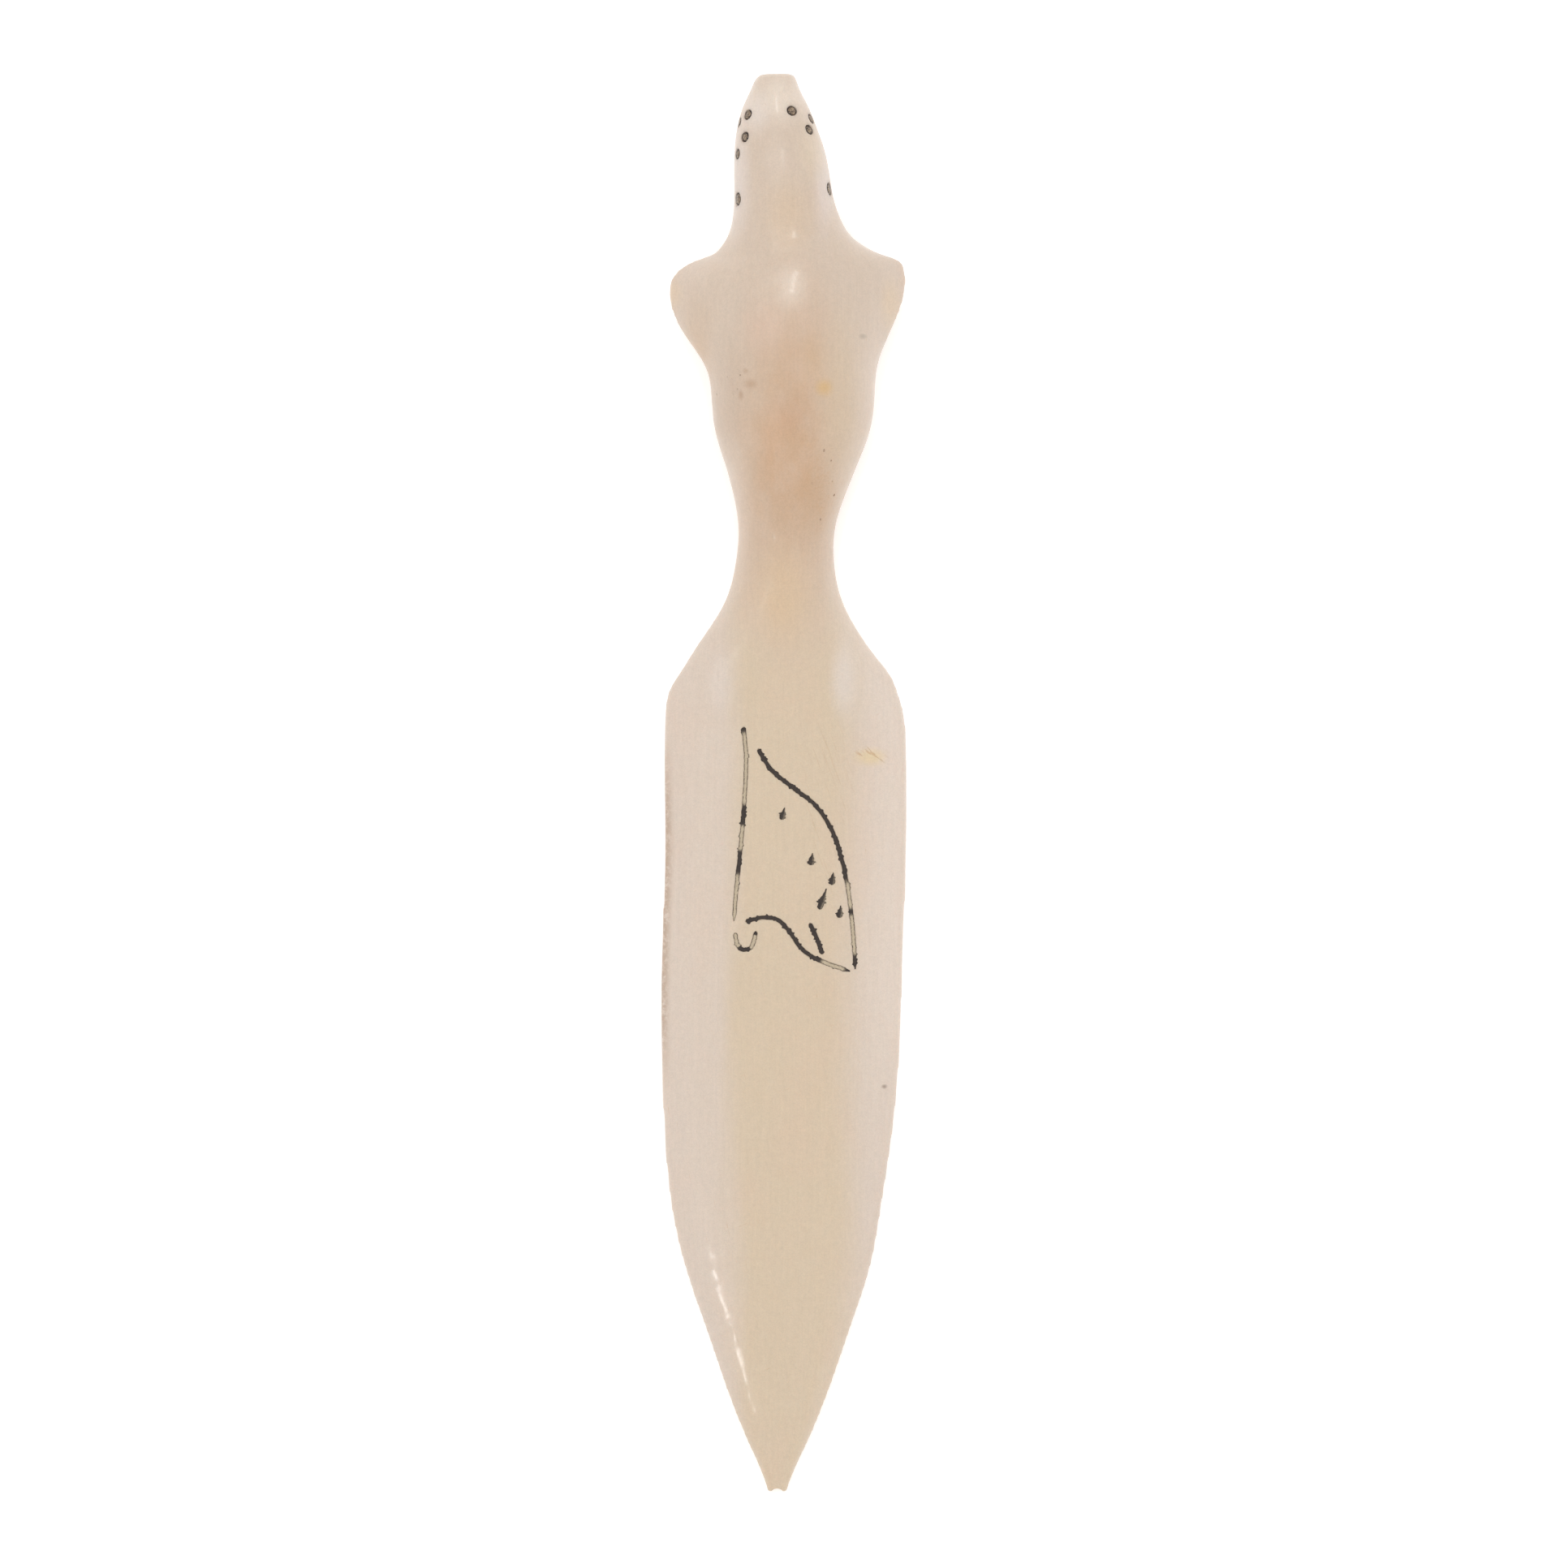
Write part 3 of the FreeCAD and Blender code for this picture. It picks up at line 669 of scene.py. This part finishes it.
def carve(bm, ink, dots, lines, places):
    """Cuts the grooves and the dots' seats, and stores the grime beside them and the painted shade around
    the dots.
    """
    grime_and_shade = bm.verts.layers.float.new("grime_and_shade")
    points = [point for line in lines.values() for point in line]
    halves = [ink.width / 2 * shape_of(name)(row / (len(line) - 1))
              for name, line in lines.items() for row in range(len(line))]
    flat_tree = tree_of(points)
    bm.normal_update()
    for vertex in bm.verts:
        if vertex.normal.z > 0.5 and vertex.co.z > TOP:
            found, index, far = flat_tree.find(Vector((vertex.co.x, vertex.co.y, 0)))
            half = halves[index]
            if far < half * 1.6:
                cut = ink.depth * min(half / ink.width * 2, 1)
                vertex.co -= UP * cut * (1 - ease(far, half * 0.5, half * 1.02))
                vertex[grime_and_shade] = max(vertex[grime_and_shade], LINE_GRIME * (1 - ease(far, half, half * 1.5)))
        for seat, facing, radius in places.values():
            offset = vertex.co - seat
            if offset.length < radius * 2:
                out = (offset - facing * offset.dot(facing)).length
                vertex.co -= facing * SEAT * (1 - ease(out, radius, radius + dots.gap * 2))
                moat = MOAT_GRIME * (1 - ease(out, radius, radius + dots.gap * 3))
                # Painted shade: the bone darkened around each dot, out to twice its radius.
                halo = HALO_SHADE * (1 - ease(out, radius, radius * 2))
                vertex[grime_and_shade] = max(vertex[grime_and_shade], moat, halo)


class BONEFOLDER_OT_bone(Operator):
    """Carve the bone, with the grooves of its engraving and the seats of its dots"""

    bl_idname = "bone_folder.bone"
    bl_label = "Bone"

    def execute(self, context):
        bone = context.scene.bone_folder_bone
        ink = context.scene.bone_folder_ink
        dots = context.scene.bone_folder_dots
        bm = filled_bone()
        target = BVHTree.FromBMesh(bm)
        even_skin(bm, bone.grain)
        refine(bm, lambda point: point.y < cad_low.y + TIP, 2)
        follow(bm, target)
        even_rim(bm, cad_low.y + bone.blade)
        for _ in range(3):
            bmesh.ops.smooth_vert(bm, verts=bm.verts[:], factor=0.4,
                                  use_axis_x=True, use_axis_y=True, use_axis_z=True)
        soften_neck(bm, cad_high.y - bone.head)
        wander(bm, bone.waver)
        SkinStore.skin = BVHTree.FromBMesh(bm)
        SkinStore.dots = dot_places(SkinStore.skin)
        lines = engraving_lines(ink)
        line_tree = tree_of([point for line in lines.values() for point in line])
        dot_tree = tree_of([seat for seat, facing, radius in SkinStore.dots.values()])

        def near(point):
            flat = Vector((point.x, point.y, 0))
            on_line = point.z > TOP and line_tree.find(flat)[2] < NEAR_LINE
            return on_line or dot_tree.find(point)[2] < NEAR_DOT

        refine(bm, near, 2)
        mark_sides(bm)
        carve(bm, ink, dots, lines, SkinStore.dots)
        add_piece(bm, "carved_bone", bone_finish(bone), "bone", "bone_body")
        return {"FINISHED"}


def line_shape(share):
    """The width of a line: blunt where the graver went in, drawn out where it left."""
    return ease(share, -0.006, 0.006) * (0.30 + 0.70 * (1 - ease(share, 0.965, 1.0)))


def tick_shape(share):
    """The width of a tick: a drop, thin where it starts and round where it ends."""
    belly = 0.68
    if share < belly:
        return 0.20 + 1.30 * (share / belly) ** 1.2
    return 0.06 + 1.44 * math.sqrt(max(1 - ((share - belly) / (1 - belly)) ** 2, 0))


def shape_of(node):
    """The width's share along a line or a tick."""
    return tick_shape if node in TICKS else line_shape


def line_wear(stretches):
    """How far the ink is rubbed out along a line that is worn over the given stretches."""
    def wear(share, place):
        return max([ease(share, low - 0.01, low + 0.02) * (1 - ease(share, high - 0.02, high + 0.01))
                    for low, high in stretches], default=0)
    return wear


def tick_wear(share, place):
    """How far the ink is rubbed out across a tick: its second edge is the worn one."""
    return 0.6 * ease(place, 0.2, 0.9)


def ragged_widths(count, draw, half, step, wear):
    """Half widths along one edge of a line: a slow swell, a fine ragged edge and a few burrs."""
    phase = draw.uniform(0, 100)
    burrs = [draw.uniform(0.3, 0.9) if draw.random() < 0.14 * (1 - 0.8 * wear(index / count, 0)) else 0
             for index in range(count)]
    burrs.append(0)
    widths = []
    for index in range(count):
        place = index * step / MM
        swell = noise.noise(Vector((place / 2.2, phase, 0)))
        ragged = noise.noise(Vector((place / 0.35, phase, 5)))
        burr = max(burrs[index], 0.6 * burrs[index - 1], 0.6 * burrs[index + 1])
        widths.append(half * (0.94 + 0.16 * swell + 0.40 * ragged + burr))
    return widths


def ribbon(line, shape, wear, ink, draw):
    """A closed strip of ink along a line. shape gives the width's share at a share of the line's
    length, and wear how far the ink is rubbed out there, at a place from -1 at the strip's first
    edge to 1 at its second."""
    bm = bmesh.new()
    rows = len(line)
    across = bm.verts.layers.float.new("across")
    worn = bm.verts.layers.float.new("wear")
    bmesh.ops.create_grid(bm, x_segments=rows - 1, y_segments=6, size=1)
    half = ink.width / 2
    sides = [ragged_widths(rows, draw, half, ink.step, wear) for _ in range(2)]
    for vertex in bm.verts:
        row = round((vertex.co.x + 1) / 2 * (rows - 1))
        share, place = row / (rows - 1), vertex.co.y
        ahead = (line[min(row + 1, rows - 1)] - line[max(row - 1, 0)]).normalized()
        sideways = Vector((-ahead.y, ahead.x, 0))
        width = sides[0 if place < 0 else 1][row] * shape(share)
        spot = line[row] + sideways * place * width
        found = SkinStore.skin.ray_cast(spot + UP, -UP)[0]
        groove = half * shape(share)
        inside = 1 - ease(abs(place) * width, groove * 0.6, groove * 0.95)
        sink = ink.recess * inside * min(shape(share), 1)
        vertex.co = found + UP * (PROUD - sink)
        vertex[across], vertex[worn] = place, wear(share, place)
    top = bm.faces[:]
    below = bmesh.ops.extrude_face_region(bm, geom=top)["geom"]
    lower = [item for item in below if isinstance(item, bmesh.types.BMVert)]
    bmesh.ops.translate(bm, verts=lower, vec=-UP * THICK)
    bmesh.ops.recalc_face_normals(bm, faces=bm.faces[:])
    return bm


class BONEFOLDER_OT_engraving(Operator):
    """Fill the engraved lines and ticks with worn ink"""

    bl_idname = "bone_folder.engraving"
    bl_label = "Engraving"

    def execute(self, context):
        ink = context.scene.bone_folder_ink
        finish = ink_finish(ink)
        lines = engraving_lines(ink)
        draw = random.Random(ink.seed)
        for node, line in lines.items():
            wear = tick_wear if node in TICKS else line_wear(LINES[node][1])
            bm = ribbon(line, shape_of(node), wear, ink, draw)
            add_piece(bm, node.removeprefix("ink_") + "_ink", finish, "ink", node)
        return {"FINISHED"}


class BONEFOLDER_OT_dots(Operator):
    """Set the dark dots of the eyes, whiskers and ears into the bone"""

    bl_idname = "bone_folder.dots"
    bl_label = "Dots"

    def execute(self, context):
        dots = context.scene.bone_folder_dots
        finish = dot_finish(dots)
        draw = random.Random(dots.seed)
        for node, (seat, facing, radius) in SkinStore.dots.items():
            bm = inlay(dots, radius, draw)
            turn = facing.to_track_quat("Z", "Y").to_matrix().to_4x4()
            bmesh.ops.transform(bm, matrix=Matrix.Translation(seat) @ turn, verts=bm.verts[:])
            add_piece(bm, node.replace("_inlay_", "_dot_"), finish, "dot_inlay", node)
        return {"FINISHED"}


def inlay(dots, radius, draw):
    """A plug with a domed, slightly uneven top, about its own origin and facing up."""
    bm = bmesh.new()
    radial = bm.verts.layers.float.new("radial")
    rings = 7
    bmesh.ops.create_circle(bm, cap_ends=True, radius=radius, segments=40)
    for ring in range(1, rings):
        inner = [face for face in bm.faces if len(face.verts) > 4]
        bmesh.ops.inset_region(bm, faces=inner, thickness=radius / rings, use_even_offset=True)
    bmesh.ops.poke(bm, faces=[face for face in bm.faces if len(face.verts) > 4])
    phase = draw.uniform(0, 100)
    for vertex in bm.verts:
        share = min(vertex.co.length / radius, 1)
        angle = math.atan2(vertex.co.y, vertex.co.x)
        uneven = noise.noise(Vector((math.cos(angle) * 1.3, math.sin(angle) * 1.3, phase)))
        ripple = noise.noise(Vector((vertex.co.x / MM * 4, vertex.co.y / MM * 4, phase)))
        vertex[radial] = share
        vertex.co *= 1.02 + 0.13 * uneven
        vertex.co.z = dots.crown * (1 - share ** 2) - dots.recess + ripple * 0.015 * MM * (1 - share)
    top = bm.faces[:]
    below = bmesh.ops.extrude_face_region(bm, geom=top)["geom"]
    lower = [item for item in below if isinstance(item, bmesh.types.BMVert)]
    for vertex in lower:
        vertex.co.z = -PLUG
    bmesh.ops.recalc_face_normals(bm, faces=bm.faces[:])
    return bm


def add_lamp(name, place, size, power, tint):
    """A square soft light that looks at the middle of the object."""
    light = bpy.data.lights.new(name, "AREA")
    light.size = size
    light.energy = power
    light.color = tint
    lamp = bpy.data.objects.new(name, light)
    lamp.location = place
    lamp.rotation_euler = (-Vector(place)).to_track_quat("-Z", "Y").to_euler()
    bpy.context.scene.collection.objects.link(lamp)


class BONEFOLDER_OT_stage(Operator):
    """Lay the white floor and set the lights and the camera"""

    bl_idname = "bone_folder.stage"
    bl_label = "Stage"

    def execute(self, context):
        stage = context.scene.bone_folder_stage
        bm = bmesh.new()
        bmesh.ops.create_grid(bm, x_segments=1, y_segments=1, size=stage.reach)
        foot = bm.edges[:]
        rim = bmesh.ops.extrude_edge_only(bm, edges=foot)["geom"]
        raised = [item for item in rim if isinstance(item, bmesh.types.BMVert)]
        bmesh.ops.translate(bm, verts=raised, vec=UP * stage.wall)
        bmesh.ops.bevel(bm, geom=foot, offset=stage.wall * 0.6, segments=8, profile=0.5,
                        affect="EDGES", material=-1)
        bmesh.ops.translate(bm, verts=bm.verts[:], vec=-UP * FLOOR_GAP)
        mesh = bpy.data.meshes.new("floor")
        bm.to_mesh(mesh)
        bm.free()
        mesh.materials.append(floor_finish(stage))
        floor = bpy.data.objects.new("floor", mesh)
        context.scene.collection.objects.link(floor)

        for lamp in LAMPS:
            add_lamp(*lamp)
        world = bpy.data.worlds.new("studio")
        world.use_nodes = True
        world.node_tree.nodes["Background"].inputs["Color"].default_value = (1, 1, 1, 1)
        world.node_tree.nodes["Background"].inputs["Strength"].default_value = 0.75
        context.scene.world = world
        context.scene.view_settings.view_transform = "Standard"

        camera = bpy.data.cameras.new("camera")
        camera.lens = stage.lens
        height = stage.view_height * stage.lens / camera.sensor_width
        camera.clip_end = height * 4
        eye = bpy.data.objects.new("camera", camera)
        eye.location = (0, 0, height)
        context.scene.collection.objects.link(eye)
        context.scene.camera = eye
        return {"FINISHED"}


class BONEFOLDER_PT_panel(Panel):
    """The bone folder's pieces and their settings"""

    bl_label = "Bone folder"
    bl_idname = "BONEFOLDER_PT_panel"
    bl_space_type = "VIEW_3D"
    bl_region_type = "UI"
    bl_category = "Bone folder"

    def draw(self, context):
        for operator, settings in BUTTONS:
            box = self.layout.box()
            box.operator(operator.bl_idname)
            group = getattr(context.scene, settings)
            for name in group.bl_rna.properties.keys():
                if name not in ("rna_type", "name"):
                    box.prop(group, name)


BUTTONS = (
    (BONEFOLDER_OT_bone, "bone_folder_bone"),
    (BONEFOLDER_OT_engraving, "bone_folder_ink"),
    (BONEFOLDER_OT_dots, "bone_folder_dots"),
    (BONEFOLDER_OT_stage, "bone_folder_stage"),
)
GROUPS = {
    "bone_folder_bone": BoneSettings,
    "bone_folder_ink": InkSettings,
    "bone_folder_dots": DotSettings,
    "bone_folder_stage": StageSettings,
}
CLASSES = (*GROUPS.values(), *(operator for operator, _ in BUTTONS), BONEFOLDER_PT_panel)


def register():
    for item in CLASSES:
        bpy.utils.register_class(item)
    for name, group in GROUPS.items():
        setattr(bpy.types.Scene, name, PointerProperty(type=group))


def unregister():
    for name in GROUPS:
        delattr(bpy.types.Scene, name)
    for item in reversed(CLASSES):
        bpy.utils.unregister_class(item)


def main():
    register()
    bpy.ops.bone_folder.bone()
    bpy.ops.bone_folder.engraving()
    bpy.ops.bone_folder.dots()
    bpy.ops.bone_folder.stage()


if __name__ == "__main__":
    main()
